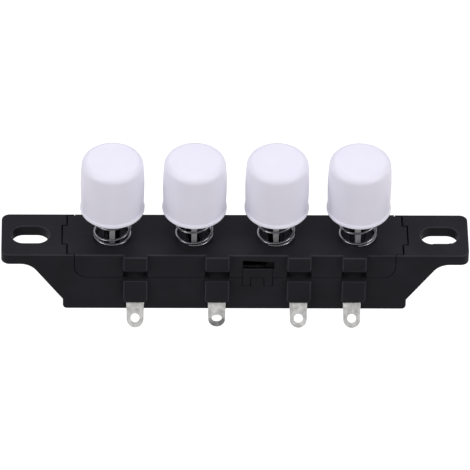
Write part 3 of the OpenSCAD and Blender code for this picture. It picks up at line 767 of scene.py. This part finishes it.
class PIANO_OT_stage(bpy.types.Operator):
    """Pale floor, soft light and the camera"""

    bl_idname = "piano.stage"
    bl_label = "Stage"

    def execute(self, context):
        stage = context.scene.piano_stage
        context.scene.view_settings.view_transform = "Standard"
        self.floor(stage, context.scene.piano_colours)
        self.sky(context.scene, stage)
        for name, settings in LAMPS.items():
            soft_lamp(name, *settings)
        self.black_card()
        self.camera(context.scene, stage)
        return {"FINISHED"}

    @staticmethod
    def floor(stage, colours):
        """Lies too far below the object to show its shadow, and is white to the eye."""
        low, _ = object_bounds()
        made = bmesh.new()
        bmesh.ops.create_grid(
            made, x_segments=1, y_segments=1, size=FLOOR_HALF,
            matrix=Matrix.Translation((0, 0, low.z - stage.floor_drop)))
        mesh = bpy.data.meshes.new("floor")
        made.to_mesh(mesh)
        made.free()
        material, tree, _, output = new_finish("pale_floor")
        matt = add(tree, "ShaderNodeBsdfDiffuse", {"Color": list(colours.floor)})
        share = add(tree, "ShaderNodeMath", {0: white_to_the_eye(tree), 1: stage.glow}, operation="MULTIPLY")
        glow = add(tree, "ShaderNodeEmission", {"Color": (1, 1, 1, 1), "Strength": share.outputs["Value"]})
        both = add(tree, "ShaderNodeAddShader", {0: matt.outputs["BSDF"], 1: glow.outputs["Emission"]})
        tree.links.new(both.outputs["Shader"], output.inputs["Surface"])
        mesh.materials.append(material)
        floor = bpy.data.objects.new("floor", mesh)
        bpy.context.scene.collection.objects.link(floor)
        floor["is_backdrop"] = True

    @staticmethod
    def black_card():
        """A card low in front that only polished surfaces mirror, for the dark side of wire and plating."""
        near = [(side * CARD_HALF, *CARD_NEAR) for side in (-1, 1)]
        far = [(side * CARD_HALF, *CARD_FAR) for side in (1, -1)]
        made = bmesh.new()
        made.faces.new([made.verts.new(corner) for corner in near + far])
        mesh = bpy.data.meshes.new("black_card")
        made.to_mesh(mesh)
        made.free()
        material, tree, _, output = new_finish("black_velvet")
        velvet = add(tree, "ShaderNodeBsdfDiffuse", {"Color": (0.01, 0.01, 0.01, 1)})
        tree.links.new(velvet.outputs["BSDF"], output.inputs["Surface"])
        mesh.materials.append(material)
        card = bpy.data.objects.new("black_card", mesh)
        card.visible_camera = False
        card.visible_diffuse = False
        card.visible_shadow = False
        bpy.context.scene.collection.objects.link(card)
        card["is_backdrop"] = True

    @staticmethod
    def sky(scene, stage):
        """Even light from all sides, which the eye sees as plain white."""
        world = bpy.data.worlds.new("even_sky")
        world.use_nodes = True
        tree = world.node_tree
        tree.nodes.clear()
        strength = add(tree, "ShaderNodeMapRange", {
            "Value": white_to_the_eye(tree), "To Min": stage.sky, "To Max": 1.0})
        light = add(tree, "ShaderNodeBackground", {
            "Color": (1, 1, 1, 1), "Strength": strength.outputs["Result"]})
        output = add(tree, "ShaderNodeOutputWorld")
        tree.links.new(light.outputs["Background"], output.inputs["Surface"])
        scene.world = world

    @staticmethod
    def camera(scene, stage):
        """Looks at the middle of the ears, level with the row of keys apart from the roll."""
        a, e = stage.azimuth, stage.elevation
        back = Vector((math.sin(a) * math.cos(e), -math.cos(a) * math.cos(e), math.sin(e)))
        right = (Vector((1, 0, 0)) - back.x * back).normalized()
        up = back.cross(right)
        turn = Matrix((right, up, back)).transposed().to_4x4()
        lens = bpy.data.cameras.new("camera")
        lens.lens = stage.lens
        lens.sensor_width = SENSOR
        lens.clip_start = NEAREST
        lens.clip_end = FARTHEST
        holder = bpy.data.objects.new("camera", lens)
        holder.matrix_world = (
            Matrix.Translation(back * stage.distance) @ turn @ Matrix.Rotation(stage.roll, 4, "Z"))
        scene.collection.objects.link(holder)
        scene.camera = holder


# ---------------------------------------------------------------- add-on


OPERATORS = (
    PIANO_OT_housing, PIANO_OT_terminals, PIANO_OT_stems, PIANO_OT_caps,
    PIANO_OT_springs, PIANO_OT_inner, PIANO_OT_stage,
)


class PIANO_PT_panel(bpy.types.Panel):
    """Lists the pieces and the stage"""

    bl_idname = "PIANO_PT_panel"
    bl_label = "Piano switch"
    bl_space_type = "VIEW_3D"
    bl_region_type = "UI"
    bl_category = "Piano switch"

    def draw(self, context):
        for group in (context.scene.piano_sizes, context.scene.piano_colours, context.scene.piano_stage):
            box = self.layout.box()
            for name in group.bl_rna.properties.keys():
                if name not in ("rna_type", "name"):
                    box.prop(group, name)
        for operator in OPERATORS:
            self.layout.operator(operator.bl_idname)


CLASSES = (PIANO_PG_sizes, PIANO_PG_colours, PIANO_PG_stage, *OPERATORS, PIANO_PT_panel)


def register():
    for cls in CLASSES:
        bpy.utils.register_class(cls)
    bpy.types.Scene.piano_sizes = bpy.props.PointerProperty(type=PIANO_PG_sizes)
    bpy.types.Scene.piano_colours = bpy.props.PointerProperty(type=PIANO_PG_colours)
    bpy.types.Scene.piano_stage = bpy.props.PointerProperty(type=PIANO_PG_stage)


def unregister():
    del bpy.types.Scene.piano_stage
    del bpy.types.Scene.piano_colours
    del bpy.types.Scene.piano_sizes
    for cls in reversed(CLASSES):
        bpy.utils.unregister_class(cls)


def main():
    """Builds the pieces and the stage."""
    register()
    bpy.ops.piano.housing()
    bpy.ops.piano.terminals()
    bpy.ops.piano.stems()
    bpy.ops.piano.caps()
    bpy.ops.piano.springs()
    bpy.ops.piano.inner()
    bpy.ops.piano.stage()


if __name__ == "__main__":
    main()
